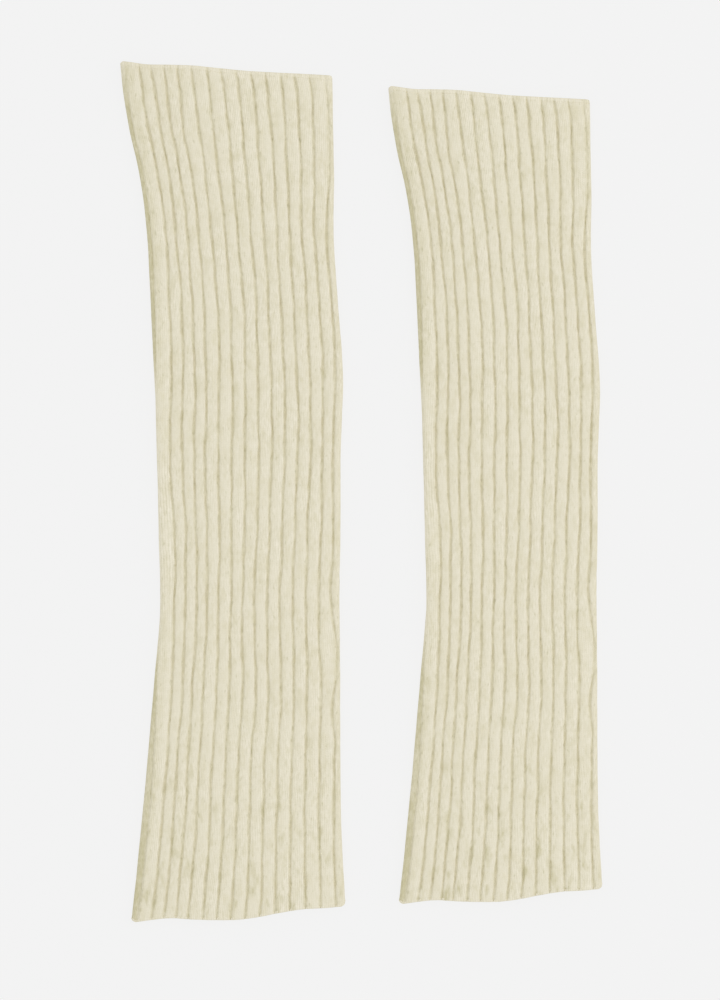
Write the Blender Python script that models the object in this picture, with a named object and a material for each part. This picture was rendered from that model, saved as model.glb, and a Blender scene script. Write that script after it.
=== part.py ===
"""A pair of rib-knit leg warmers lying flat, side by side.

Each is one knitted tube, flattened so that its front lies on its back, with a bound-off band along its top.
All sizes here are millimetres, turned to metres where the meshes are made. Seen from above, +X runs to the
right, +Y runs up the leg from the hem to the top, and +Z points off the floor.
"""

import math
from collections import namedtuple

import bmesh
import bpy
import numpy as np

MM = 0.001

# The fabric
WALL = 3.0  # a knit layer, from its plain inner side to the crown of a rib
SLIT = 0.6  # between the front and the back, which lie on each other
GROOVE_DEPTH = 1.25  # the valley between two ribs
HALF_HEIGHT = WALL + SLIT / 2  # also the radius of the two folded sides

# The ribs, as shares of the flat width: those beside the left fold are drawn together
FIRST_GROOVE = 0.034
NARROW_PITCH = 0.0587
NARROW_RIBS = 4
WIDE_PITCH = 0.0695
TOP_GROOVES = 15

# The length, measured from the hem's left corner to the top's left corner
LENGTH = 550.0
BAND = 2.8  # the bound-off band at the top
SEAM_GAP = 0.3  # between the tube and the band
BAND_GROOVE_SHARE = 0.35  # how much of a groove's depth the band keeps
EDGE_ROUND = 1.0  # how far the free edges draw in
SEAM_ROUND = 0.45  # how far the edges beside the seam draw in
HEM_LIFT = 1.2  # how far the front stands off the back at the open hem
TOP_LIFT = 0.8  # the same at the open top
LIFT_REACH = 45.0  # how far up the tube a mouth's lift reaches

# How finely the surfaces are divided
TUBE_STATIONS = 23
INNER_STATIONS = 12
UNDERSIDE_STEPS = 7
INNER_STEPS = 9

# The flat outline and the run of the ribs, section by section. left and right are the folded sides, lean is how
# far the middle ribs wander from their even spacing, and skew how far the two halves wander apart.
Section = namedtuple("Section", "along left right lean skew")
SECTIONS = (
    Section(along=0, left=-70.2, right=68.0, lean=-2.2, skew=1.0),
    Section(along=30, left=-66.9, right=66.3, lean=-1.0, skew=1.0),
    Section(along=60, left=-63.9, right=64.7, lean=-0.1, skew=1.1),
    Section(along=100, left=-60.1, right=64.1, lean=-1.1, skew=0.6),
    Section(along=150, left=-55.8, right=63.9, lean=0.0, skew=0.1),
    Section(along=200, left=-51.9, right=63.6, lean=-2.1, skew=0.8),
    Section(along=250, left=-52.6, right=64.2, lean=-0.8, skew=0.2),
    Section(along=300, left=-53.8, right=64.4, lean=0.5, skew=-0.8),
    Section(along=350, left=-55.5, right=65.8, lean=0.6, skew=0.4),
    Section(along=400, left=-57.9, right=62.2, lean=2.1, skew=0.5),
    Section(along=440, left=-60.0, right=59.8, lean=1.2, skew=0.0),
    Section(along=480, left=-65.1, right=59.9, lean=0.6, skew=-0.4),
    Section(along=510, left=-71.7, right=59.3, lean=1.1, skew=-0.6),
    Section(along=550, left=-78.7, right=58.7, lean=0.9, skew=0.2),
)

# The two cut edges, as the height reached at each share of the width from the left fold
EdgePoint = namedtuple("EdgePoint", "share along")
HEM_EDGE = (
    EdgePoint(share=0.00, along=-0.6),
    EdgePoint(share=0.08, along=1.3),
    EdgePoint(share=0.18, along=2.7),
    EdgePoint(share=0.28, along=1.8),
    EdgePoint(share=0.40, along=1.4),
    EdgePoint(share=0.50, along=1.6),
    EdgePoint(share=0.58, along=3.2),
    EdgePoint(share=0.69, along=6.3),
    EdgePoint(share=0.80, along=8.4),
    EdgePoint(share=0.90, along=9.3),
    EdgePoint(share=1.00, along=10.9),
)
TOP_EDGE = (
    EdgePoint(share=0.00, along=551.6),
    EdgePoint(share=0.09, along=550.3),
    EdgePoint(share=0.20, along=549.1),
    EdgePoint(share=0.36, along=548.6),
    EdgePoint(share=0.48, along=547.0),
    EdgePoint(share=0.60, along=545.2),
    EdgePoint(share=0.80, along=543.7),
    EdgePoint(share=1.00, along=542.4),
)

# Where each lies, from the full-size one's own datum. The second has relaxed a little shorter and narrower.
Placement = namedtuple("Placement", "side scale x y")
PLACEMENTS = (
    Placement(side="left", scale=1.0, x=0.0, y=0.0),
    Placement(side="right", scale=0.95, x=167.7, y=11.7),
)

# One rib from groove to groove: share of its pitch, and how far it lies below the crown as a share of the depth
RIB_PROFILE = ((0.0, 1.0), (0.17, 0.2), (0.5, 0.0), (0.83, 0.2))

CREAM = (0.80, 0.74, 0.60, 1.0)
BAND_CREAM = (0.76, 0.70, 0.56, 1.0)

RingPoint = namedtuple("RingPoint", "x y z clock")


def curve_through(rows, across, up):
    """A smooth function through the rows, from their column named across to the one named up."""
    xs = np.array([getattr(row, across) for row in rows])
    ys = np.array([getattr(row, up) for row in rows])
    slopes = np.gradient(ys, xs)

    def value(x):
        i = min(max(int(np.searchsorted(xs, x)) - 1, 0), len(xs) - 2)
        span = xs[i + 1] - xs[i]
        t = (x - xs[i]) / span
        rise = ys[i + 1] - ys[i]
        bend_in = slopes[i] * span - rise
        bend_out = slopes[i + 1] * span - rise
        return ys[i] + t * rise + t * (1 - t) * ((1 - t) * bend_in - t * bend_out)

    return value


left_side = curve_through(SECTIONS, "along", "left")
right_side = curve_through(SECTIONS, "along", "right")
lean_at = curve_through(SECTIONS, "along", "lean")
skew_at = curve_through(SECTIONS, "along", "skew")
hem_at = curve_through(HEM_EDGE, "share", "along")
top_at = curve_through(TOP_EDGE, "share", "along")


def along_at(share, reach):
    """The height at a share of the width, where reach is 0 on the hem and 1 on the top edge."""
    return hem_at(share) + (top_at(share) - hem_at(share)) * reach


def plan_point(place, share, reach):
    """Where a point of the flat tube lies on the floor."""
    along = along_at(share, reach)
    left = left_side(along)
    across = left + (right_side(along) - left) * share
    return place.scale * across + place.x, place.scale * along + place.y


def flat_width(place, reach):
    return place.scale * (right_side(along_at(1, reach)) - left_side(along_at(0, reach)))


def mouth_lift(share, reach):
    """How far the front stands off the back near the two open ends."""
    from_hem = reach * LENGTH / LIFT_REACH
    from_top = (1 - reach) * LENGTH / LIFT_REACH
    lift = HEM_LIFT * math.exp(-from_hem**2) + TOP_LIFT * math.exp(-from_top**2)
    return lift * math.sin(math.pi * min(max(share, 0), 1))


def groove_distances(place, reach):
    """How far each groove lies round the tube, from where the left fold meets the flat front."""
    width = flat_width(place, reach)
    along = along_at(0.5, reach)
    lean, skew = lean_at(along) * place.scale, skew_at(along) * place.scale
    shares = [
        FIRST_GROOVE + NARROW_PITCH * min(i, NARROW_RIBS) + WIDE_PITCH * max(i - NARROW_RIBS, 0)
        for i in range(TOP_GROOVES)
    ]
    on_front = [
        share * width + lean * math.sin(math.pi * share) + skew * math.sin(2 * math.pi * share) - HALF_HEIGHT
        for share in shares
    ]
    round_left_fold = on_front[0] - NARROW_PITCH * width
    round_right_fold = on_front[-1] + WIDE_PITCH * width
    return [round_left_fold, *on_front, round_right_fold]


def outer_point(place, reach, distance, inset):
    """A point of the outer side, so far round from the left fold, and so far inside the crowns."""
    width = flat_width(place, reach)
    front = width - 2 * HALF_HEIGHT
    radius = HALF_HEIGHT - inset
    if distance < 0:
        turn = -distance / HALF_HEIGHT
        from_left, height = HALF_HEIGHT - radius * math.sin(turn), HALF_HEIGHT + radius * math.cos(turn)
    elif distance <= front:
        turn = 0.0
        from_left, height = HALF_HEIGHT + distance, HALF_HEIGHT + radius
    else:
        turn = (distance - front) / HALF_HEIGHT
        from_left = width - HALF_HEIGHT + radius * math.sin(turn)
        height = HALF_HEIGHT + radius * math.cos(turn)
    share = from_left / width
    height += mouth_lift(share, reach) * (1 + math.cos(turn)) / 2
    x, y = plan_point(place, share, reach)
    return RingPoint(x, y, height, share if turn < math.pi / 2 else 2 - share)


def outer_ring(place, reach, depth, inset):
    """The outer side at one station: ribbed over the front and both folds, and flat underneath."""
    grooves = groove_distances(place, reach)
    front = flat_width(place, reach) - 2 * HALF_HEIGHT
    half_turn = math.pi * HALF_HEIGHT
    ring = []
    for start, end in zip(grooves, grooves[1:]):
        for share, drop in RIB_PROFILE:
            distance = start + (end - start) * share
            ring.append(outer_point(place, reach, distance, inset + depth * drop))
    ring.append(outer_point(place, reach, grooves[-1], inset + depth))
    right_contact = front + half_turn
    ring.append(outer_point(place, reach, (grooves[-1] + right_contact) / 2, inset))
    for step in range(UNDERSIDE_STEPS + 1):
        share = 1 - (HALF_HEIGHT + front * step / UNDERSIDE_STEPS) / (front + 2 * HALF_HEIGHT)
        x, y = plan_point(place, share, reach)
        ring.append(RingPoint(x, y, inset, 2 - share))
    ring.append(outer_point(place, reach, (grooves[0] - half_turn) / 2, inset))
    return ring


def inner_ring(place, reach):
    """The plain inside at one station: a slit between the front and the back."""
    width = flat_width(place, reach)
    near = WALL / width
    first = (WALL + SLIT) / width
    shares = [first + (1 - 2 * first) * i / (INNER_STEPS - 1) for i in range(INNER_STEPS)]
    ring = []
    for share in shares:
        x, y = plan_point(place, share, reach)
        ring.append(RingPoint(x, y, WALL + SLIT + mouth_lift(share, reach), share))
    ring.append(RingPoint(*plan_point(place, 1 - near, reach), HALF_HEIGHT, 1.0))
    for share in reversed(shares):
        x, y = plan_point(place, share, reach)
        ring.append(RingPoint(x, y, WALL, 2 - share))
    ring.append(RingPoint(*plan_point(place, near, reach), HALF_HEIGHT, 2.0))
    return ring


def add_ring(mesh, ring):
    return [mesh.verts.new((p.x * MM, p.y * MM, p.z * MM)) for p in ring]


def loft(mesh, rings):
    """Faces between each ring of vertices and the next, all the way round."""
    for lower, upper in zip(rings, rings[1:]):
        for i, vertex in enumerate(lower):
            before = i - 1
            mesh.faces.new((lower[before], vertex, upper[i], upper[before]))


def rim(mesh, outer_points, outer, inner_points, inner):
    """Faces that close an end between the outer ring and the inner one, which has fewer points."""
    first = min(range(len(outer)), key=lambda i: abs(outer_points[i].clock - inner_points[0].clock))
    outer_turns = [(outer_points[(first + i) % len(outer)].clock - outer_points[first].clock) % 2
                   for i in range(len(outer))] + [2.0]
    inner_turns = [(p.clock - inner_points[0].clock) % 2 for p in inner_points] + [2.0]
    i = j = 0
    while i < len(outer) or j < len(inner):
        outside, inside = outer[(first + i) % len(outer)], inner[j % len(inner)]
        outer_next = j == len(inner) or (i < len(outer) and outer_turns[i + 1] <= inner_turns[j + 1])
        if outer_next:
            i += 1
            mesh.faces.new((outside, outer[(first + i) % len(outer)], inside))
        else:
            j += 1
            mesh.faces.new((outside, inner[j % len(inner)], inside))


def knit_wall(name, place, stations, inner_reaches, depth, material):
    """A closed wall of knit. stations are (distance up from the hem, inset) pairs of its outer side."""
    mesh = bmesh.new()
    outer_points = [outer_ring(place, distance / LENGTH, depth, inset) for distance, inset in stations]
    inner_points = [inner_ring(place, reach) for reach in inner_reaches]
    outer = [add_ring(mesh, ring) for ring in outer_points]
    inner = [add_ring(mesh, ring) for ring in inner_points]
    loft(mesh, outer)
    loft(mesh, inner)
    for end in (0, -1):
        rim(mesh, outer_points[end], outer[end], inner_points[end], inner[end])
    bmesh.ops.recalc_face_normals(mesh, faces=mesh.faces)
    data = bpy.data.meshes.new(name)
    mesh.to_mesh(data)
    mesh.free()
    data.materials.append(material)
    return bpy.data.objects.new(name, data)


def knit_tube(place, material):
    """The ribbed tube, from its open hem up to the seam under the band."""
    end = LENGTH - BAND - SEAM_GAP
    stations = [(0.0, EDGE_ROUND), (0.8, EDGE_ROUND * 0.35)]
    stations += [(d, 0.0) for d in np.linspace(2.0, end - 1.0, TUBE_STATIONS)]
    stations.append((end, SEAM_ROUND))
    reaches = np.linspace(0.0, end / LENGTH, INNER_STATIONS)
    return knit_wall(f"knit_tube_{place.side}", place, stations, reaches, GROOVE_DEPTH, material)


def bound_off_band(place, material):
    """The narrow band along the top, where the last row of stitches is chained off."""
    start = LENGTH - BAND
    stations = [(start, SEAM_ROUND), (start + 0.8, 0.0), (LENGTH - 0.8, EDGE_ROUND * 0.35), (LENGTH, EDGE_ROUND)]
    reaches = (start / LENGTH, 1.0)
    depth = GROOVE_DEPTH * BAND_GROOVE_SHARE
    return knit_wall(f"bound_off_band_{place.side}", place, stations, reaches, depth, material)


def wool(name, colour):
    material = bpy.data.materials.new(name)
    material.use_nodes = True
    shader = material.node_tree.nodes["Principled BSDF"]
    shader.inputs["Base Color"].default_value = colour
    shader.inputs["Roughness"].default_value = 0.95
    shader.inputs["Metallic"].default_value = 0.0
    material.diffuse_color = colour
    return material


def centre_on_floor(objects):
    """Moves the pair so that the origin is under its middle, on the floor."""
    points = np.array([v.co for obj in objects for v in obj.data.vertices])
    low, high = points.min(axis=0), points.max(axis=0)
    for obj in objects:
        for vertex in obj.data.vertices:
            vertex.co.x -= (low[0] + high[0]) / 2
            vertex.co.y -= (low[1] + high[1]) / 2


def main():
    for obj in list(bpy.data.objects):
        bpy.data.objects.remove(obj, do_unlink=True)
    knit, chain = wool("rib_knit", CREAM), wool("bound_off_edge", BAND_CREAM)
    objects = []
    for place in PLACEMENTS:
        objects += [knit_tube(place, knit), bound_off_band(place, chain)]
    centre_on_floor(objects)
    collection = bpy.data.collections.new("leg_warmers")
    bpy.context.scene.collection.children.link(collection)
    for obj in objects:
        collection.objects.link(obj)


main()
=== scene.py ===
import math

import bpy
import numpy as np
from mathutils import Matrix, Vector


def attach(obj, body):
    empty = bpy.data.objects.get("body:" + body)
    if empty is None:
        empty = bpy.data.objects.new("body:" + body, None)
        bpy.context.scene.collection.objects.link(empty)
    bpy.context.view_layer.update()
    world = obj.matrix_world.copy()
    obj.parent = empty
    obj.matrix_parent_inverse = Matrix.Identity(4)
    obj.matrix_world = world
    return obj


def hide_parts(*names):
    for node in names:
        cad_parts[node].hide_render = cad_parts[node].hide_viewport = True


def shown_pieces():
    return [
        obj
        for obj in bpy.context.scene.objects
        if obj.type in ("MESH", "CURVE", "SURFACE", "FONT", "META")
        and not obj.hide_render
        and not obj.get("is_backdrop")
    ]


print("loading the packed solids")
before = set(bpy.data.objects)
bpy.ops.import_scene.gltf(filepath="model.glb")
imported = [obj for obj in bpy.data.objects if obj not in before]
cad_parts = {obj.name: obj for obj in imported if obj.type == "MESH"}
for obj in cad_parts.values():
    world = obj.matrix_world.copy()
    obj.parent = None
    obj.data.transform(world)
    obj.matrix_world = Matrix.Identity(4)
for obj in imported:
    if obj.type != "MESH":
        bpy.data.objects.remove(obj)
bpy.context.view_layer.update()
bpy.ops.object.select_all(action="DESELECT")

mm = 0.001

# the longer one lying flat, in mm: its folds by the height above its hem, how far the grooves stray from
# their even places, and the wavy line of each end by the share of the width
legPlan = {
    "along": [0, 30, 60, 100, 150, 200, 250, 300, 350, 400, 440, 480, 510, 530, 550],
    "left": [
        -70.2, -66.9, -63.9, -60.1, -55.8, -51.9, -52.6, -53.8,
        -55.5, -57.9, -60.0, -65.1, -71.8, -75.1, -77.2,
    ],
    "right": [68.0, 66.3, 64.7, 64.1, 63.9, 63.6, 64.2, 64.4, 65.8, 62.2, 59.8, 59.9, 59.3, 59.0, 58.8],
    "lean": [-2.2, -1.0, -0.1, -1.1, 0.0, -2.1, -0.8, 0.5, 0.6, 2.1, 1.2, 0.6, 1.1, 1.0, 0.9],
    "skew": [1.0, 1.0, 1.1, 0.6, 0.1, 0.8, 0.2, -0.8, 0.4, 0.5, 0.0, -0.4, -0.6, -0.2, 0.2],
    "leftDrift": [0.2, 0.7, 1.2, 1.0, 0.7, -0.9, -0.5, -2.0, -0.3, 0.6, 0.5, 0.7, 0.5, 0.3, 0.2],
    "rightDrift": [-1.0, -0.8, 0.2, 0.4, 1.7, -1.3, -0.5, -1.3, -1.0, 0.3, -0.8, 1.2, 1.8, 1.4, 0.8],
    "foldGroove": [0.6, 1.1, 0.9, 0.5, -1.8, -5.6, -8.5, -8.0, -3.2, -0.6, -0.8, -0.9, -0.7, -0.5, -0.6],
    "kinkAlong": [100, 110, 119, 131, 144, 156, 174, 196, 212, 226],
    "kinkShift": [0.0, 0.4, -1.1, -2.4, -1.2, 0.7, 2.0, 0.7, -0.4, 0.0],
    "hemShare": [0.00, 0.08, 0.18, 0.28, 0.40, 0.50, 0.58, 0.69, 0.80, 0.90, 1.00],
    "hemAlong": [-0.2, 1.5, 2.9, 2.2, 1.8, 2.1, 3.5, 6.4, 8.7, 9.4, 10.6],
    "topShare": [0.00, 0.05, 0.12, 0.22, 0.35, 0.44, 0.60, 0.73, 0.88, 1.00],
    "topAlong": [551.3, 550.5, 549.1, 548.8, 548.2, 546.9, 544.8, 543.8, 542.8, 541.9],
    "centre": (76.3, 275.5),
    "length": 550.0,
    "topCorners": (1.8, 0.9),
    "hemCorners": (2.6, 3.0),
    "cornerReach": 3.0,
}
legs = {
    "left": {"scale": 1.0, "x": 0.0, "y": 0.0},
    "right": {"scale": 0.95, "x": 167.7, "y": 11.7},
}

# the knit: 3 knit wales and a purl valley to each rib, 16 ribs over the front and folds, 14 underneath
ribKnit = {
    "wall": 3.0,
    "slit": 0.6,
    "frontRibs": 16,
    "backRibs": 14,
    "firstGroove": 0.034,  # this, the narrow pitch and the wide one are shares of the flat width
    "narrowPitch": 0.0587,
    "narrowRibs": 4,
    "widePitch": 0.0695,
    "ribPitch": 7.8,  # in mm
    "bandHeight": 2.8,
    "courseHeight": 1.6,
    "grooveDepth": 1.4,
    "grooveFloor": 0.22,
    "crispSide": 1.05,
    "softSide": 1.38,
    "softTail": (0.2, 3.3),
    "waleRipple": 0.05,
    "crownFall": 0.32,
    "crownSwell": 0.08,
    "hemLift": 1.2,
    "topLift": 0.8,
    "liftReach": 45.0,
    "frontColumns": 16,
    "backColumns": 8,
    "rowSpacing": 2.7,
}
foldRadius = ribKnit["wall"] + ribKnit["slit"] / 2

# waves are (size, length): those of the grooves' paths and of the crowns in mm, the others as a share
unevenness = {
    "path": [(0.26, 118), (0.2, 61), (0.15, 33), (0.1, 17), (0.06, 8)],
    "depth": [(0.10, 150), (0.10, 74), (0.13, 36), (0.13, 19), (0.1, 8)],
    "width": [(0.14, 71), (0.13, 29), (0.10, 15), (0.1, 7)],
    "crown": [(0.05, 66), (0.04, 27)],
    "leftDriftAt": (0.09, 0.07),
    "rightDriftAt": (0.964, 0.05),
    "steadyAtFold": 0.08,
    "topLean": (1.2, 9.0),
    "swells": [(0.16, 23, 31, 0.0), (0.12, 11.5, -17, 1.3), (0.09, 41, -12, 0.5)],  # size, lengths, shift
}


def bell(distance, reach, power=2):
    return np.exp(-((distance / reach) ** power))


def slope(distance, start, end):
    # 1 up to the start and 0 from the end on, with half a wave between them
    return 0.5 + 0.5 * np.cos(math.pi * np.clip((distance - start) / (end - start), 0, 1))


def smoothCurve(xs, ys, x):
    xs, ys = np.asarray(xs, float), np.asarray(ys, float)
    slopes = np.gradient(ys, xs)
    i = np.clip(np.searchsorted(xs, x) - 1, 0, len(xs) - 2)
    span = xs[i + 1] - xs[i]
    t = (x - xs[i]) / span
    rise = ys[i + 1] - ys[i]
    bendIn, bendOut = slopes[i] * span - rise, slopes[i + 1] * span - rise
    return ys[i] + t * rise + t * (1 - t) * ((1 - t) * bendIn - t * bendOut)


def planColumn(name, along):
    return smoothCurve(legPlan["along"], legPlan[name], along)


def alongAt(share, reach):
    # the height in mm at a share of the width and a share of the way from the wavy hem to the wavy top
    hem = smoothCurve(legPlan["hemShare"], legPlan["hemAlong"], share)
    top = smoothCurve(legPlan["topShare"], legPlan["topAlong"], share)
    return hem + (top - hem) * reach


def flatWidth(leg, reach):
    right = planColumn("right", alongAt(np.ones_like(reach), reach))
    left = planColumn("left", alongAt(np.zeros_like(reach), reach))
    return leg["scale"] * (right - left)


def wander(rng, count, alongMm, waves):
    # a few sine waves for each groove, with neighbours partly in step
    shared = rng.uniform(0, 2 * math.pi, len(waves))
    total = np.zeros((count, len(alongMm)))
    for k, (size, length) in enumerate(waves):
        own = rng.uniform(0, 2 * math.pi, (count, 1))
        drift = rng.uniform(0.85, 1.2, (count, 1))
        total += size * np.sin(2 * math.pi * alongMm / (length * drift) + 0.35 * own + shared[k])
    return total


def groovePlaces(leg, reach):
    # how far round each groove lies from where the left fold meets the front: one row for each groove
    knit, uneven = ribKnit, unevenness
    width = flatWidth(leg, reach)
    along = alongAt(np.full_like(reach, 0.5), reach)
    fromTop = (1 - reach) * legPlan["length"]
    scale = leg["scale"]
    shares = np.array([
        knit["firstGroove"] + knit["narrowPitch"] * min(i, knit["narrowRibs"])
        + knit["widePitch"] * max(i - knit["narrowRibs"], 0)
        for i in range(knit["frontRibs"] - 1)
    ])[:, None]
    own = wander(np.random.default_rng(11), len(shares), along, uneven["path"])
    leftAt, leftSpread = uneven["leftDriftAt"]
    rightAt, rightSpread = uneven["rightDriftAt"]
    topLean, leanReach = uneven["topLean"]
    front = (
        shares * width
        + scale * planColumn("lean", along) * np.sin(math.pi * shares)
        + scale * planColumn("skew", along) * np.sin(2 * math.pi * shares)
        + scale * planColumn("leftDrift", along) * bell(shares - leftAt, leftSpread)
        + scale * planColumn("rightDrift", along) * bell(shares - rightAt, rightSpread)
        + scale * own * np.minimum(1, np.minimum(shares, 1 - shares) / uneven["steadyAtFold"])
        - scale * topLean * bell(fromTop, leanReach)
        - foldRadius
    )
    # the first groove runs in sight along the flared ends and goes round the fold between them
    front[0] = scale * planColumn("foldGroove", along)
    # the last one runs out over the right fold for a stretch and comes back with a kink
    kinkAlong = legPlan["kinkAlong"]
    inKink = np.clip(along, kinkAlong[0], kinkAlong[-1])
    front[-1] = front[-1] + scale * smoothCurve(kinkAlong, legPlan["kinkShift"], inKink)
    leftFold = front[:1] - knit["narrowPitch"] * width
    rightFold = front[-1:] + knit["widePitch"] * width
    around = 2 * (width - 2 * foldRadius) + 2 * math.pi * foldRadius
    steps = np.arange(1, knit["backRibs"] + 1)[:, None] / knit["backRibs"]
    back = rightFold + (leftFold + around - rightFold) * steps
    return np.concatenate([leftFold, front, rightFold, back])


def cornerPull(ends, share, fromFold):
    # how far a rounded corner draws the edge back at a point so far in from the fold
    onLeft, onRight = legPlan[ends]
    radius = np.where(share < 0.5, onLeft, onRight)
    near = np.clip(radius - fromFold, 0, radius)
    return radius - np.sqrt(radius**2 - near**2)


def softSwell(along, across):
    swell = 0
    for size, alongLength, acrossLength, shift in unevenness["swells"]:
        swell = swell + size * np.sin(along / alongLength + across / acrossLength + shift)
    return swell


def layFlat(leg, distance, reach, inset):
    # a point so far round the flattened tube, so far up it, and so far in from the rib crowns
    knit, half = ribKnit, foldRadius
    width = flatWidth(leg, reach)
    front = width - 2 * half
    halfTurn = math.pi * half
    radius = half - inset
    distance = np.where(distance < -halfTurn, distance + 2 * (front + halfTurn), distance)
    under = distance - front - halfTurn
    # the left fold, the front, the right fold, the underside, and the left fold again
    zones = [distance < 0, distance <= front, under <= 0, under <= front]
    turn = np.select(
        zones,
        [-distance / half, 0 * distance, (distance - front) / half, 0 * distance + math.pi],
        math.pi - (under - front) / half,
    )
    outward = radius * np.sin(turn)
    fromLeft = np.select(
        zones,
        [half - outward, half + distance, width - half + outward, width - half - under],
        half - outward,
    )
    share = fromLeft / width
    outerLeft = np.where((distance >= 0) & (distance <= front), half, half * (1 - np.sin(turn)))
    topLayer = (1 + np.cos(turn)) / 2
    fromHem, fromTop = reach * legPlan["length"], (1 - reach) * legPlan["length"]
    lift = knit["hemLift"] * bell(fromHem, knit["liftReach"])
    lift = lift + knit["topLift"] * bell(fromTop, knit["liftReach"])
    height = half + radius * np.cos(turn) + lift * np.sin(math.pi * np.clip(share, 0, 1)) * topLayer
    along = alongAt(share, reach)
    fromFold = np.where((under > 0) & (under <= front), width, np.clip(outerLeft, 0, width))
    along = along + cornerPull("hemCorners", share, fromFold) * bell(fromHem, legPlan["cornerReach"])
    along = along - cornerPull("topCorners", share, fromFold) * bell(fromTop, legPlan["cornerReach"])
    left = planColumn("left", along)
    across = left + (planColumn("right", along) - left) * share
    height = height + softSwell(along, across) * topLayer * np.clip(fromFold / 3, 0, 1)
    x = (leg["scale"] * across + leg["x"] - legPlan["centre"][0]) * mm
    y = (leg["scale"] * along + leg["y"] - legPlan["centre"][1]) * mm
    return x, y, height * mm


def ribColumns(onFront, onBack):
    # the rib count at each column, from 0 to 30, closer together at the valleys
    counts = []
    for rib in range(ribKnit["frontRibs"] + ribKnit["backRibs"]):
        columns = onFront if rib < ribKnit["frontRibs"] else onBack
        t = np.arange(columns) / columns
        counts.append(rib + t - 0.08 * np.sin(2 * math.pi * t))
    return np.concatenate(counts)


# the grooves beside the folds, in shares and in mm: where each fades, and where the fold sinks
foldHabits = {
    "hemShallow": (0.09, 260.0),
    "firstFadesAt": (0.85, -5.2, 2.2),
    "firstFadesByTop": 18.0,
    "firstFadesByHem": (0.4, 26.0),
    "lastFadesByTop": (0.8, 28.0),
    "lastTurnsAt": (0.45, 1.4),
    "lastTurnFade": 0.45,
    "purlFold": (4.2, 2.4),
    "foldSinks": (1.0, 3.6),
}

# painted shade on the knit outside the valleys, and a darker tone towards both ends: sizes as shares of the
# valleys' painted shade tone, places and reaches in mm
paintedShadeParts = {
    "stripShadeTone": 1.6,
    "stripEdge": (4.6, 2.0),
    "stripPale": (0.6, 88.0, 30.0),
    "stripNarrowByHem": (0.6, 26.0),
    "byLeftFold": (0.24, 7.0),
    "byLeftFoldParts": (0.4, 0.6, 1.2),
    "firstRib": (0.16, 5.6, 2.4),
    "firstRibByTop": (44.0, 28.0, 1.4, 0.5),
    "firstRibFrom": (55.0, 25.0),
    "byRightFold": (0.16, 2.2),
    "roundRightFold": (0.4, 2.6),
    "byEnds": (0.055, 80.0),
    "ribShade": 0.39,
}


def acrossValley(leg, part, pitch, wide):
    # 1 on the floor and 0 on a rib: a crisp wall to the valley's right, a rounder shoulder to its left
    knit = ribKnit
    fromValley = np.minimum(part, 1 - part) * pitch / (leg["scale"] * wide)
    tailShare, tail = knit["softTail"]
    crisp = slope(fromValley, knit["grooveFloor"], knit["crispSide"])
    soft = slope(fromValley, knit["grooveFloor"], knit["softSide"])
    soft = (1 - tailShare) * soft + tailShare * np.clip(1 - fromValley / tail, 0, 1) ** 1.5
    return np.where(part < 0.5, crisp, soft)


def fadeGrooves(valley, nearest, crossing, pastFlat, along, fromTop):
    # all are a little shallower towards the hem, the last one dies out below the band, and the first one
    # where it crosses the fold and at the ends
    habits = foldHabits
    size, reachIn = habits["hemShallow"]
    valley = valley * (1 - size * bell(along, reachIn, 4))
    size, reachIn = habits["lastFadesByTop"]
    kept = (1 - habits["lastTurnFade"] * pastFlat) * (1 - size * bell(fromTop, reachIn))
    lastFront = (nearest == ribKnit["frontRibs"] - 1)[:, None]
    valley = valley * (1 - lastFront * (1 - kept))
    size, reachIn = habits["firstFadesByHem"]
    gone = habits["firstFadesAt"][0] * crossing + bell(fromTop, habits["firstFadesByTop"])
    gone = gone + size * bell(along, reachIn)
    return valley * (1 - (nearest == 1)[:, None] * np.clip(gone, 0, 1))


def foldStripShade(shadeTint, first, distance, along):
    # painted shade on the strip along the left fold, where it lies in a purl valley
    parts = paintedShadeParts
    size, middle, spread = parts["stripPale"]
    tone = parts["stripShadeTone"] - size * bell(along - middle, spread)
    edge, softness = parts["stripEdge"]
    shadeTint = np.maximum(shadeTint, tone * first * np.clip(1 - (-distance - edge) / softness, 0, 1))
    size, reachIn = parts["stripNarrowByHem"]
    return shadeTint - size * first * bell(along, reachIn) * np.clip((distance + 2) / 2, 0, 1)


def paintedShadeAndEndTone(leg, distance, front, lastGroove, atFold, pastFlat, along, fromTop):
    # painted shade on the knit beside both folds and on the first rib, and a darker tone towards both ends
    parts = paintedShadeParts
    fromLeft = distance / leg["scale"] + foldRadius
    fromRight = np.maximum((front - distance) / leg["scale"] + foldRadius, 0)
    size, reachIn = parts["byLeftFold"]
    always, inStrip, byTop = parts["byLeftFoldParts"]
    topPart = byTop * bell(fromTop, foldHabits["firstFadesByTop"])
    paintedDarkening = size * (always + inStrip * atFold + topPart) * bell(fromLeft, reachIn)
    size, middle, spread = parts["firstRib"]
    topMiddle, topSpread, topShift, topGain = parts["firstRibByTop"]
    byTop = bell(fromTop - topMiddle, topSpread)
    lowest, fadeIn = parts["firstRibFrom"]
    upFromHem = np.clip((along - lowest) / fadeIn, 0, 1)
    offMiddle = fromLeft - middle - topShift * byTop
    paintedDarkening = paintedDarkening + size * (1 + topGain * byTop) * upFromHem * bell(offMiddle, spread)
    onTop = distance < front + math.pi * foldRadius
    size, reachIn = parts["byRightFold"]
    paintedDarkening = paintedDarkening + size * bell(fromRight, reachIn) * onTop
    size, reachIn = parts["roundRightFold"]
    paintedDarkening = paintedDarkening + size * pastFlat * bell((distance - lastGroove) / leg["scale"], reachIn) * onTop
    size, reachIn = parts["byEnds"]
    return paintedDarkening + size * (bell(along, reachIn) + bell(fromTop, reachIn))


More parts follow.
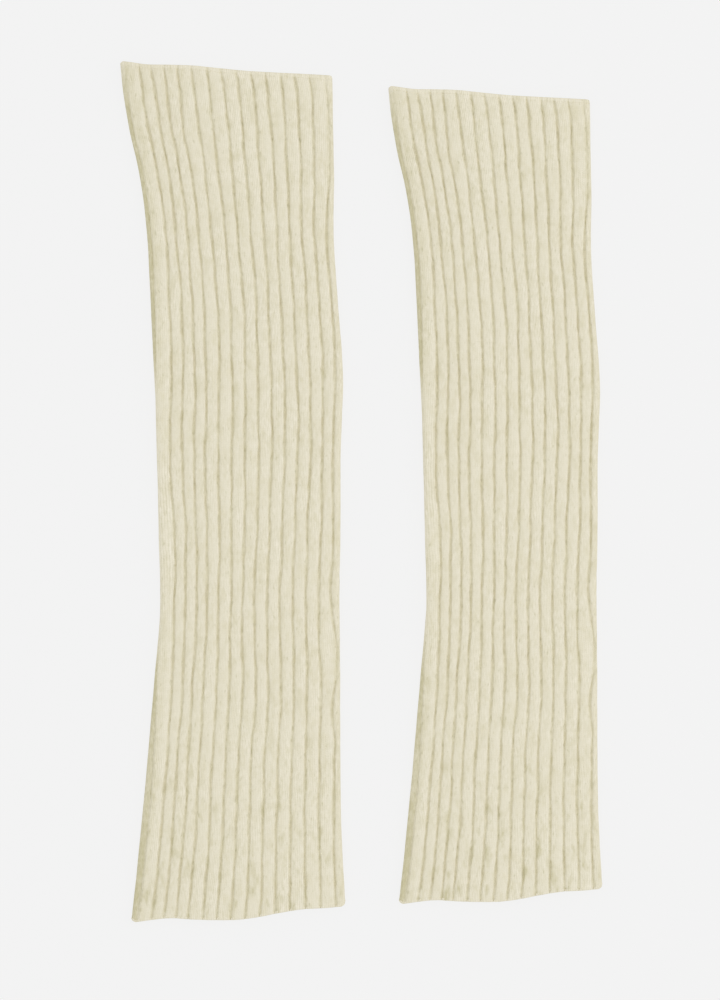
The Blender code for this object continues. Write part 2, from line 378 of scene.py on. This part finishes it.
def ribRelief(leg, ribCount, reach, fade):
    # how far round each column lies, how far in its surface is, and how much painted shade it carries, in
    # the valleys' tone
    knit, habits, scale = ribKnit, foldHabits, leg["scale"]
    grooves = groovePlaces(leg, reach)
    firstGroove, lastGroove = grooves[1], grooves[knit["frontRibs"] - 1]
    rib = np.floor(ribCount).astype(int)
    part = (ribCount - rib)[:, None]
    start, end = grooves[rib], grooves[rib + 1]
    distance = start + (end - start) * part
    along, fromTop = reach * legPlan["length"], (1 - reach) * legPlan["length"]
    rng = np.random.default_rng(5)
    count = len(grooves) - 1
    deep = 1 + wander(rng, count, along, unevenness["depth"])
    wide = 1 + wander(rng, count, along, unevenness["width"])
    crown = wander(rng, count, along, unevenness["crown"])
    nearest = np.where(part[:, 0] < 0.5, rib, (rib + 1) % count)
    valley = acrossValley(leg, part, end - start, wide[nearest])
    # how far the first groove is round the left fold, and the last one round the right fold
    middle, spread = habits["firstFadesAt"][1:]
    crossing = bell(firstGroove / scale - middle, spread)
    front = flatWidth(leg, reach) - 2 * foldRadius
    turnAt, turnReach = habits["lastTurnsAt"]
    pastFlat = np.clip(turnAt - (front - lastGroove) / (turnReach * scale), 0, 1)
    valley = fadeGrooves(valley, nearest, crossing, pastFlat, along, fromTop)
    # along the flared ends the fold lies in a purl valley, so the first rib stays down there and is painted
    # with the valleys' shade
    far, near = habits["purlFold"]
    atFold = np.clip((firstGroove + far * scale) / ((far - near) * scale), 0, 1)
    atFold = atFold * (1 - bell(fromTop, habits["firstFadesByTop"]))
    first = (rib == 0)[:, None] * atFold
    shadeTint = foldStripShade(valley, first, distance, along)
    edge, softness = habits["foldSinks"]
    valley = np.maximum(valley, first * np.clip(1 - (-distance - edge) / softness, 0, 1))
    # painted shade beside the folds, the darker tone at the ends, and painted shade that makes the left
    # side of each rib a little darker than its right side
    paintedDarkening = paintedShadeAndEndTone(leg, distance, front, lastGroove, atFold, pastFlat, along, fromTop)
    sinceValley = np.clip((distance - start) / (scale * knit["ribPitch"]), 0, 1)
    shadeTint = shadeTint + (1 - np.clip(shadeTint, 0, 1)) * (paintedDarkening + paintedShadeParts["ribShade"] * (1 - sinceValley))
    ripple = (0.5 + 0.5 * np.cos(2 * math.pi * (4 * part + 0.5))) ** 2
    onCrown = 1 - valley
    inset = (
        knit["grooveDepth"] * deep[nearest] * valley * fade
        + knit["waleRipple"] * ripple * onCrown * fade
        + knit["crownFall"] * (2 * part - 1) ** 2 * onCrown * fade
        + (crown[rib] + knit["crownSwell"]) * onCrown * np.sin(math.pi * part)
    )
    return distance, inset, shadeTint * fade


def addPiece(name, verts, faces):
    mesh = bpy.data.meshes.new(name)
    mesh.from_pydata(verts, [], faces)
    piece = bpy.data.objects.new(name, mesh)
    bpy.context.scene.collection.objects.link(piece)
    return piece


def loopMesh(name, points):
    # a sheet that closes on itself both ways: round the tube, and from the outer side over the rims inside
    columns, rows = points.shape[:2]
    column, row = np.meshgrid(np.arange(columns), np.arange(rows), indexing="ij")
    nextColumn, nextRow = (column + 1) % columns, (row + 1) % rows
    faces = np.stack([
        column * rows + row, nextColumn * rows + row, nextColumn * rows + nextRow, column * rows + nextRow
    ], axis=-1).reshape(-1, 4)
    return addPiece(name, points.reshape(-1, 3).tolist(), faces.tolist())


def dressLoop(piece, uv, valley):
    # uv and valley, the painted shade of the valleys and folds, are indexed by column and row
    rows = valley.shape[1]
    mesh = piece.data
    corner = np.empty(len(mesh.loops), np.int32)
    mesh.loops.foreach_get("vertex_index", corner)
    column, row = corner.reshape(-1, 4) // rows, corner.reshape(-1, 4) % rows
    # the last face of each ring meets the first column again, at the full count of ribs
    wraps = (column.max(axis=1) - column.min(axis=1)) > 1
    u, v = uv[0][column, row], uv[1][column, row]
    u = np.where(wraps[:, None] & (column == 0), ribKnit["frontRibs"] + ribKnit["backRibs"], u)
    layer = mesh.uv_layers.new(name="knit")
    layer.data.foreach_set("uv", np.stack([u, v], axis=-1).astype(np.float32).ravel())
    # the valley attribute holds the painted shade of the valleys and folds
    depth = mesh.attributes.new("valley", "FLOAT", "POINT")
    depth.data.foreach_set("value", valley.astype(np.float32).ravel())
    mesh.update()
    bpy.ops.object.select_all(action="DESELECT")
    bpy.context.view_layer.objects.active = piece
    piece.select_set(True)
    bpy.ops.object.mode_set(mode="EDIT")
    bpy.ops.mesh.select_all(action="SELECT")
    bpy.ops.mesh.normals_make_consistent(inside=False)
    bpy.ops.object.mode_set(mode="OBJECT")
    bpy.ops.object.shade_smooth()


def wallLoop(name, leg, rowPlan, columns, relief=None):
    # each row: its height, its share of the way from the outer side to the inner, the ribs' depth, a tuck
    ribCount = ribColumns(*columns)
    up, across, fade, tuck = np.array(rowPlan, float).T
    reach = up / legPlan["length"]
    # the third value is the painted shade of the valleys and folds
    distance, inset, valley = ribRelief(leg, ribCount, reach, fade)
    inset = inset + tuck
    if relief:
        inset = inset + relief(ribCount[:, None], up[None, :])
    inset = inset + (ribKnit["wall"] - inset) * across
    x, y, z = layFlat(leg, distance, reach[None, :] + 0 * distance, inset)
    z = np.maximum(z, 0)
    piece = loopMesh(name, np.stack([x, y, z], axis=-1))
    u = np.repeat(ribCount[:, None], len(rowPlan), axis=1)
    v = np.repeat(up[None, :] / ribKnit["courseHeight"], len(ribCount), axis=0)
    # on the rims the stitches run on over the edge
    v = v + across[None, :] * 1.2
    dressLoop(piece, (u, v), valley * (1 - across))
    return piece


def bendRows(up, outward, size, turns, fade):
    # rows that carry the outer side round a free edge to the inner one
    rows = []
    for turn in turns:
        angle = math.radians(turn)
        rows.append((up + outward * size * math.sin(angle), (1 - math.cos(angle)) / 2, fade, 0.0))
    return rows


tubeEnds = {
    "hemBend": 1.0,
    "topBend": 0.3,
    "underBand": 0.35,
    "bendTurns": (18, 45, 72, 108, 140, 165),
    "topFade": (0.35, 2.2),
    "lastRow": 0.6,
    "slipRows": ((-0.35, 0.0), (-0.1, 0.12), (0.05, 0.35)),
    "slipFade": 0.66,
    "rimTuck": 0.35,
    "innerSteps": (8, 25, 60, 130),
    "innerMiddle": (280, 200),
}


def knitTube(side):
    ends = tubeEnds
    hemEnd, topBend = ends["hemBend"], ends["topBend"]
    low = legPlan["length"] - ribKnit["bandHeight"]
    topEnd = low + ends["underBand"]
    topSize, topReach = ends["topFade"]
    count = int((topEnd - hemEnd) / ribKnit["rowSpacing"])
    outer = []
    for k in range(count + 1):
        up = hemEnd + (topEnd - topBend - hemEnd) * k / count
        outer.append((up, 0.0, 1 - topSize * bell(topEnd - up, topReach), 0.0))
    outer = [row for row in outer if row[0] < low - ends["lastRow"]]
    # the last rows slip in under the band
    for aboveLow, tuck in ends["slipRows"]:
        outer.append((low + aboveLow, 0.0, ends["slipFade"], tuck))
    topRim = bendRows(topEnd - topBend, 1, topBend, ends["bendTurns"], 1.0)
    topRim = [(*row[:3], ends["rimTuck"] * (1 - row[1])) for row in topRim]
    steps = ends["innerSteps"]
    innerUps = [topEnd - topBend, *(topEnd - step for step in steps)]
    innerUps += [*ends["innerMiddle"], *reversed(steps), hemEnd]
    inner = [(up, 1.0, 0.0, 0.0) for up in innerUps]
    hemRim = bendRows(hemEnd, -1, ends["hemBend"], ends["bendTurns"], 1.0)[::-1]
    columns = (ribKnit["frontColumns"], ribKnit["backColumns"])
    return wallLoop(f"knit_tube_{side}_wool", legs[side], outer + topRim + inner + hemRim, columns)


# the chained-off edge: a row of low links over the last stitches, one to each wale
boundOff = {
    "columns": (32, 16),
    "rows": 11,
    "edgeRound": 0.85,
    "bendTurns": (25, 50, 75, 105, 130, 155),
    "linkRelief": 0.15,
    "linkSlant": 0.45,
    "parting": (0.6, 0.2),
    "fade": 0.4,
    "lowFade": (0.2, 0.8),
    "firstRow": 0.1,
    "startRows": ((-0.12, 0.1, 0.6, 0.1), (-0.1, 0.0, 0.6, 0.14)),  # as in wallLoop, from the low edge
    "innerRows": ((0.4, 1.0), (-0.1, 0.85)),
}


def chainRelief(ribCount, up):
    links = boundOff
    middle = legPlan["length"] - ribKnit["bandHeight"] / 2
    offset = np.clip((up - middle) / (ribKnit["bandHeight"] / 2), -1, 1)
    link = 0.5 + 0.5 * np.cos(2 * math.pi * (4 * ribCount - links["linkSlant"] * np.abs(offset)))
    size, reachIn = links["parting"]
    return links["linkRelief"] * np.maximum(1 - link, size * bell(offset, reachIn))


def boundOffBand(side):
    links = boundOff
    high, bend = legPlan["length"], links["edgeRound"]
    low = high - ribKnit["bandHeight"]
    size, reachIn = links["lowFade"]
    first = links["firstRow"]
    rows = [(low + row[0], *row[1:]) for row in links["startRows"]]
    for k in range(links["rows"]):
        up = low + first + (high - bend - low - first) * k / (links["rows"] - 1)
        rows.append((up, 0.0, links["fade"] + size * bell(up - low, reachIn), 0.0))
    rows += bendRows(high - bend, 1, bend, links["bendTurns"], links["fade"])
    rows.append((high - bend, 1.0, 0.0, 0.0))
    rows += [(low + aboveLow, across, 0.0, 0.0) for aboveLow, across in links["innerRows"]]
    return wallLoop(f"bound_off_{side}_chain", legs[side], rows, links["columns"], chainRelief)


# the cast-on stitches along the hem: two slanting strands to each
castOn = {
    "beadLength": 1.9,
    "beadWidth": 0.95,
    "beadThick": 0.9,
    "tilt": 62,
    "spread": 0.5,
    "stitches": 120,
    "height": 1.1,
    "inset": 0.42,
    "fade": 0.8,
}


def strandShape(length, width, thick):
    # one yarn strand, a long bead modelled once and copied
    bpy.ops.object.select_all(action="DESELECT")
    bpy.ops.mesh.primitive_uv_sphere_add(segments=8, ring_count=6, radius=0.5)
    bead = bpy.context.object
    bpy.ops.object.mode_set(mode="EDIT")
    bpy.ops.mesh.select_all(action="SELECT")
    bpy.ops.transform.rotate(value=math.pi / 2, orient_axis="Y", center_override=(0, 0, 0))
    bpy.ops.transform.resize(value=(length * mm, width * mm, thick * mm), center_override=(0, 0, 0))
    bpy.ops.object.mode_set(mode="OBJECT")
    verts = np.array([v.co for v in bead.data.vertices])
    faces = [tuple(f.vertices) for f in bead.data.polygons]
    bpy.data.objects.remove(bead, do_unlink=True)
    return verts, faces


def castOnEdge(side):
    # two copies of the strand at each stitch round the hem
    beads, leg = castOn, legs[side]
    verts, faces = strandShape(beads["beadLength"], beads["beadWidth"], beads["beadThick"])
    ribTotal = ribKnit["frontRibs"] + ribKnit["backRibs"]
    ribCount = (np.arange(beads["stitches"]) + 0.5) / beads["stitches"] * ribTotal
    reach = np.array([beads["height"] / legPlan["length"]])
    step = 0.02

    def at(count, lift):
        inHem = np.clip(count, 0, ribTotal - 1e-6)
        distance, relief, _ = ribRelief(leg, inHem, reach, np.array([beads["fade"]]))
        raised = reach[None, :] + lift / legPlan["length"] + 0 * distance
        x, y, z = layFlat(leg, distance, raised, relief + beads["inset"])
        return np.stack([x[:, 0], y[:, 0], z[:, 0]], axis=-1)

    here = at(ribCount, 0)
    ahead = at(ribCount + step, 0) - at(ribCount - step, 0)
    upward = at(ribCount, 0.5) - at(ribCount, -0.5)
    ahead /= np.linalg.norm(ahead, axis=1, keepdims=True)
    upward -= ahead * (upward * ahead).sum(axis=1, keepdims=True)
    upward /= np.linalg.norm(upward, axis=1, keepdims=True)
    outward = np.cross(ahead, upward)
    angle = math.radians(beads["tilt"])
    allVerts, allFaces = [], []
    for k in range(beads["stitches"]):
        lengthwise = ahead[k] * math.cos(angle) + upward[k] * math.sin(angle)
        sideways = upward[k] * math.cos(angle) - ahead[k] * math.sin(angle)
        for forward in (-beads["spread"], beads["spread"]):
            middle = here[k] + ahead[k] * forward * mm
            placed = middle + verts[:, :1] * lengthwise + verts[:, 1:2] * sideways
            placed = placed + verts[:, 2:] * outward[k]
            base = len(allVerts) * len(verts)
            allVerts.append(placed)
            allFaces += [tuple(base + i for i in face) for face in faces]
    allVerts = np.concatenate(allVerts)
    allVerts[:, 2] = np.maximum(allVerts[:, 2], 0)
    piece = addPiece(f"cast_on_{side}_edge", allVerts.tolist(), allFaces)
    for face in piece.data.polygons:
        face.use_smooth = True
    return piece


# nodes
def addNode(tree, kind, inputs=(), **settings):
    node = tree.nodes.new(kind)
    for key, value in settings.items():
        setattr(node, key, value)
    for key, value in dict(inputs).items():
        if isinstance(value, bpy.types.NodeSocket):
            tree.links.new(value, node.inputs[key])
        else:
            node.inputs[key].default_value = value
    return node


def calc(tree, operation, *values):
    return addNode(tree, "ShaderNodeMath", dict(enumerate(values)), operation=operation).outputs[0]


def noise(tree, place, scale, detail=1.0, roughness=0.5, seed=None):
    inputs = {"Vector": place, "Scale": scale, "Detail": detail, "Roughness": roughness}
    if seed is None:
        return addNode(tree, "ShaderNodeTexNoise", inputs).outputs["Fac"]
    return addNode(tree, "ShaderNodeTexNoise", {**inputs, "W": seed}, noise_dimensions="4D").outputs["Fac"]


def ramp(tree, value, fromRange, toRange):
    return addNode(tree, "ShaderNodeMapRange", {
        "Value": value, "From Min": fromRange[0], "From Max": fromRange[1],
        "To Min": toRange[0], "To Max": toRange[1]}).outputs[0]


def blend(tree, factor, first, second, **settings):
    inputs = {"Factor": factor, "A": first, "B": second}
    return addNode(tree, "ShaderNodeMix", inputs, data_type="RGBA", **settings).outputs["Result"]


woolLook = {
    "crown": (0.867, 0.817, 0.661, 1),
    "olive": (0.72, 0.665, 0.45, 1),
    # the valley colour is painted shade, for the purl valleys and the strip along the left fold
    "valley": (0.638, 0.592, 0.387, 1),
    "valleyShadeMix": 0.576,
    "valleyShadeUneven": 0.76,
    "unevenSize": 700.0,
    "mottle": 0.4,
    "mottleRange": (0.47, 0.72),
    "patchSize": 240.0,
    "patchStretch": (1.0, 0.42, 1.0),
    "looseSize": 160.0,
    "looseWales": 0.35,
    "looseCourses": 0.8,
    "threads": (1.2, 0.42, 0.0),  # these three are scales across and along the wales, and a layer of noise
    "fineThreads": (2.9, 0.3, 4.0),
    "specks": (1.3, 0.34, 9.0),
    "streak": 0.155,
    "fineStreak": 0.135,
    "streakSpread": (0.4, 1.45),
    "calmSize": 75.0,
    "calmRange": (0.36, 0.66),
    "blueStreak": 1.45,
    "speck": 0.14,
    "speckRange": (0.67, 0.82),
    "shadePatch": 0.68,
    "shadePatchRange": (0.55, 0.72),
    "shadePatchSize": 170.0,
    "shadePatchSeed": 3.0,
    "shadePatchByHem": (8.0, 80.0),
    "shadePatchAbove": 0.32,
    "stitchShade": 0.03,
    "legShade": 0.09,
    "stitchBump": 0.25,
    "bumpDepth": 0.0004,
    "fibreSize": 2600.0,
    "roughness": 0.92,
    "specular": 0.2,
    "sheen": 0.12,
    "sheenRoughness": 0.5,
}


def threadNoise(tree, wale, course, scales, detail=1.0, roughness=0.5):
    across, along, layer = scales
    x, y = calc(tree, "MULTIPLY", wale, across), calc(tree, "MULTIPLY", course, along)
    spot = addNode(tree, "ShaderNodeCombineXYZ", {"X": x, "Y": y, "Z": layer}).outputs[0]
    return noise(tree, spot, 1.0, detail, roughness)


def stitchShape(tree, wale, course):
    # each stitch: two arms that rise from the middle of the wale
    offMiddle = calc(tree, "ABSOLUTE", calc(tree, "SUBTRACT", calc(tree, "FRACT", wale), 0.5))
    fromMiddle = calc(tree, "MULTIPLY", offMiddle, 2.0)
    strand = calc(tree, "FRACT", calc(tree, "SUBTRACT", course, calc(tree, "MULTIPLY", fromMiddle, 0.6)))
    fromCrest = calc(tree, "ABSOLUTE", calc(tree, "MULTIPLY_ADD", strand, 2.0, -1.0))
    hump = calc(tree, "SUBTRACT", 1.0, calc(tree, "POWER", fromCrest, 2.5))
    toEdge = calc(tree, "SUBTRACT", 1.0, fromMiddle)
    arm = calc(tree, "MULTIPLY", calc(tree, "MULTIPLY", fromMiddle, 4.0), toEdge)
    return arm, calc(tree, "MULTIPLY", hump, calc(tree, "MULTIPLY_ADD", arm, 0.55, 0.45))


def addShadePatches(tree, deep, stretched, ribs, courses, fine):
    # a few streaky patches of painted shade in the valleys' tone, mostly near the hem and to the right of
    # each valley
    look = woolLook
    patchNoise = noise(tree, stretched, look["shadePatchSize"], 2.0, seed=look["shadePatchSeed"])
    shadePatch = ramp(tree, patchNoise, look["shadePatchRange"], (0.0, look["shadePatch"]))
    byValley = calc(tree, "MULTIPLY_ADD", calc(tree, "FRACT", ribs), -1.2, 1.6)
    byThread = calc(tree, "MULTIPLY_ADD", fine, 3.4, -0.7)
    byHem = ramp(tree, courses, look["shadePatchByHem"], (1.0, look["shadePatchAbove"]))
    shadePatched = calc(tree, "MULTIPLY", calc(tree, "MULTIPLY", shadePatch, byValley), byThread)
    return calc(tree, "MULTIPLY_ADD", shadePatched, byHem, deep)


def stitchedTone(tree, tone, place, stretched):
    # the tone of the knit, with painted shade in its valleys and painted light and shade on its stitches,
    # and the height of its stitches, from the rib count and the courses in the knit UV
    look = woolLook
    uv = addNode(tree, "ShaderNodeUVMap", uv_map="knit").outputs[0]
    split = addNode(tree, "ShaderNodeSeparateXYZ", {"Vector": uv})
    ribs, courses = split.outputs["X"], split.outputs["Y"]
    shift = calc(tree, "SUBTRACT", noise(tree, place, look["looseSize"]), 0.5)
    wale = calc(tree, "MULTIPLY_ADD", ribs, 4.0, 0.5)
    wale = calc(tree, "ADD", wale, calc(tree, "MULTIPLY", shift, look["looseWales"]))
    course = calc(tree, "ADD", courses, calc(tree, "MULTIPLY", shift, look["looseCourses"]))
    arm, stitch = stitchShape(tree, wale, course)
    # lighter and darker threads up the wales: some stretches of rib are smooth and others streaky
    thread = threadNoise(tree, wale, course, look["threads"], 3.0, 0.65)
    fine = threadNoise(tree, wale, course, look["fineThreads"])
    spread = ramp(tree, noise(tree, stretched, look["calmSize"]), look["calmRange"], look["streakSpread"])
    streak = calc(tree, "MULTIPLY", calc(tree, "SUBTRACT", thread, 0.5), look["streak"])
    streak = calc(tree, "MULTIPLY_ADD", calc(tree, "SUBTRACT", fine, 0.5), look["fineStreak"], streak)
    # the valley attribute: painted shade of the valleys and folds
    valley = addNode(tree, "ShaderNodeAttribute", attribute_name="valley").outputs["Fac"]
    inValley = calc(tree, "MINIMUM", valley, 0.6)
    streak = calc(tree, "MULTIPLY", streak, calc(tree, "MULTIPLY_ADD", inValley, 0.9, spread))
    # painted light and shade on the two legs of each stitch, seen as fine lines up the wales
    legLightAndShade = calc(tree, "MULTIPLY", calc(tree, "SUBTRACT", arm, 0.67), look["legShade"])
    shade = calc(tree, "ADD", calc(tree, "MULTIPLY_ADD", legLightAndShade, spread, 1.0), streak)
    # painted light and shade over each stitch's hump
    size = look["stitchShade"]
    shade = calc(tree, "MULTIPLY", shade, calc(tree, "MULTIPLY_ADD", stitch, size, 1 - 0.6 * size))
    # a few dark specks, more of them in the valleys
    specks = threadNoise(tree, wale, course, look["specks"])
    specks = calc(tree, "MULTIPLY_ADD", inValley, 0.12, specks)
    specks = ramp(tree, specks, look["speckRange"], (1.0, 1 - look["speck"]))
    shade = calc(tree, "MULTIPLY", shade, specks)
    # painted shade in the valleys: a darker tone, uneven from stitch to stitch
    size = look["valleyShadeUneven"]
    uneven = noise(tree, stretched, look["unevenSize"])
    uneven = calc(tree, "MULTIPLY_ADD", uneven, size, look["valleyShadeMix"] - size / 2)
    deep = calc(tree, "MULTIPLY", valley, uneven)
    deep = addShadePatches(tree, deep, stretched, ribs, courses, fine)
    # blend towards the painted shade colour
    tinted = blend(tree, calc(tree, "MINIMUM", deep, 1.0), tone, look["valley"])
    blue = calc(tree, "POWER", shade, look["blueStreak"])
    grey = addNode(tree, "ShaderNodeCombineColor", {"Red": shade, "Green": shade, "Blue": blue}).outputs[0]
    return blend(tree, 1.0, tinted, grey, blend_type="MULTIPLY"), stitch


def knitWool(name, stitched=True):
    look = woolLook
    material = bpy.data.materials.new(name)
    material.use_nodes = True
    tree = material.node_tree
    shader = tree.nodes["Principled BSDF"]
    place = addNode(tree, "ShaderNodeTexCoord").outputs["Object"]
    fibre = noise(tree, place, look["fibreSize"], 2.0, 0.6)
    # olive patches, longer up the leg than across it
    stretching = {"Vector": place, "Scale": look["patchStretch"]}
    stretched = addNode(tree, "ShaderNodeMapping", stretching).outputs[0]
    patches = noise(tree, stretched, look["patchSize"], 3.0, 0.6)
    spots = ramp(tree, patches, look["mottleRange"], (0.0, look["mottle"]))
    tone = blend(tree, spots, look["crown"], look["olive"])
    if stitched:
        tone, stitch = stitchedTone(tree, tone, place, stretched)
        height = calc(tree, "MULTIPLY_ADD", fibre, 0.35, stitch)
    else:
        height = calc(tree, "MULTIPLY", fibre, 0.6)
    bump = addNode(tree, "ShaderNodeBump", {
        "Height": height, "Strength": look["stitchBump"], "Distance": look["bumpDepth"]})
    tree.links.new(tone, shader.inputs["Base Color"])
    tree.links.new(bump.outputs[0], shader.inputs["Normal"])
    shader.inputs["Roughness"].default_value = look["roughness"]
    shader.inputs["Specular IOR Level"].default_value = look["specular"]
    shader.inputs["Sheen Weight"].default_value = look["sheen"]
    shader.inputs["Sheen Roughness"].default_value = look["sheenRoughness"]
    return material


print("camera, light and floor")
studio = {
    "lens": 135.0,
    "frameHeight": 0.640,
    "aim": (0.0001, -0.0051, 0.0033),
    "farthest": 150,
    "keyPlace": (2.8, 0.2, 1.6),
    "keySize": 1.7,
    "keyPower": 11.8,
    "topPlace": (0.1, 0.0, 2.6),
    "topSize": 2.8,
    "topPower": 10.9,
    "sky": 0.765,
    "skySeen": 0.885,
    "floorSize": 200,
    "floorDrop": 0.0004,
    "floorGlow": 0.803,
    "floorColour": 0.10,
}


def addCamera():
    camera = bpy.data.cameras.new("camera")
    camera.lens = studio["lens"]
    camera.sensor_width = 36.0
    away = studio["frameHeight"] / 2 / (18.0 / studio["lens"])
    place = bpy.data.objects.new("camera", camera)
    place.location = (studio["aim"][0], studio["aim"][1], studio["aim"][2] + away)
    camera.clip_end = studio["farthest"]
    bpy.context.scene.collection.objects.link(place)
    bpy.context.scene.camera = place


def addPanel(name):
    lamp = bpy.data.lights.new(name, "AREA")
    lamp.shape = "SQUARE"
    lamp.size = studio[name + "Size"]
    lamp.energy = studio[name + "Power"]
    holder = bpy.data.objects.new(name, lamp)
    holder.location = studio[name + "Place"]
    toMiddle = Vector((0, 0, 0)) - Vector(studio[name + "Place"])
    holder.rotation_euler = toMiddle.to_track_quat("-Z", "Y").to_euler()
    bpy.context.scene.collection.objects.link(holder)


def addSky():
    world = bpy.data.worlds.new("studio")
    world.use_nodes = True
    tree = world.node_tree
    background = tree.nodes["Background"]
    background.inputs["Color"].default_value = (1, 1, 1, 1)
    # past the floor's edge the camera sees a sky as pale as the floor
    seen = addNode(tree, "ShaderNodeLightPath").outputs["Is Camera Ray"]
    glow = calc(tree, "MULTIPLY_ADD", seen, studio["skySeen"] - studio["sky"], studio["sky"])
    tree.links.new(glow, background.inputs["Strength"])
    bpy.context.scene.world = world
    bpy.context.scene.view_settings.view_transform = "Standard"


def addFloor():
    bpy.ops.object.select_all(action="DESELECT")
    bpy.ops.mesh.primitive_plane_add(size=studio["floorSize"], location=(0, 0, -studio["floorDrop"]))
    floor = bpy.context.object
    floor.name = "floor"
    bpy.ops.object.transform_apply(location=True, rotation=True, scale=True)
    paper = bpy.data.materials.new("paper")
    paper.use_nodes = True
    shader = paper.node_tree.nodes["Principled BSDF"]
    grey = studio["floorColour"]
    shader.inputs["Base Color"].default_value = (grey, grey, grey, 1)
    shader.inputs["Roughness"].default_value = 1.0
    shader.inputs["Specular IOR Level"].default_value = 0.0
    shader.inputs["Emission Color"].default_value = (1, 1, 1, 1)
    shader.inputs["Emission Strength"].default_value = studio["floorGlow"]
    floor.data.materials.append(paper)
    floor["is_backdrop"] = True


addCamera()
addPanel("key")
addPanel("top")
addSky()
addFloor()

woolMaterial = knitWool("cream_rib_knit")
chainMaterial = knitWool("cream_chained_edge")
yarnMaterial = knitWool("cream_yarn", stitched=False)

for side in legs:
    print("knitting the", side, "tube")
    tube = knitTube(side)
    tube.data.materials.append(woolMaterial)
    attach(tube, "root")
    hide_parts(f"knit_tube_{side}")
    print("chaining off its top")
    band = boundOffBand(side)
    band.data.materials.append(chainMaterial)
    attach(band, "root")
    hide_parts(f"bound_off_band_{side}")
    print("casting on its hem")
    hem = castOnEdge(side)
    hem.data.materials.append(yarnMaterial)
    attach(hem, "root")

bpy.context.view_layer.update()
meshes = [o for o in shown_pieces() if o.type == "MESH"]
print("triangles", {o.name: sum(len(f.vertices) - 2 for f in o.data.polygons) for o in meshes})
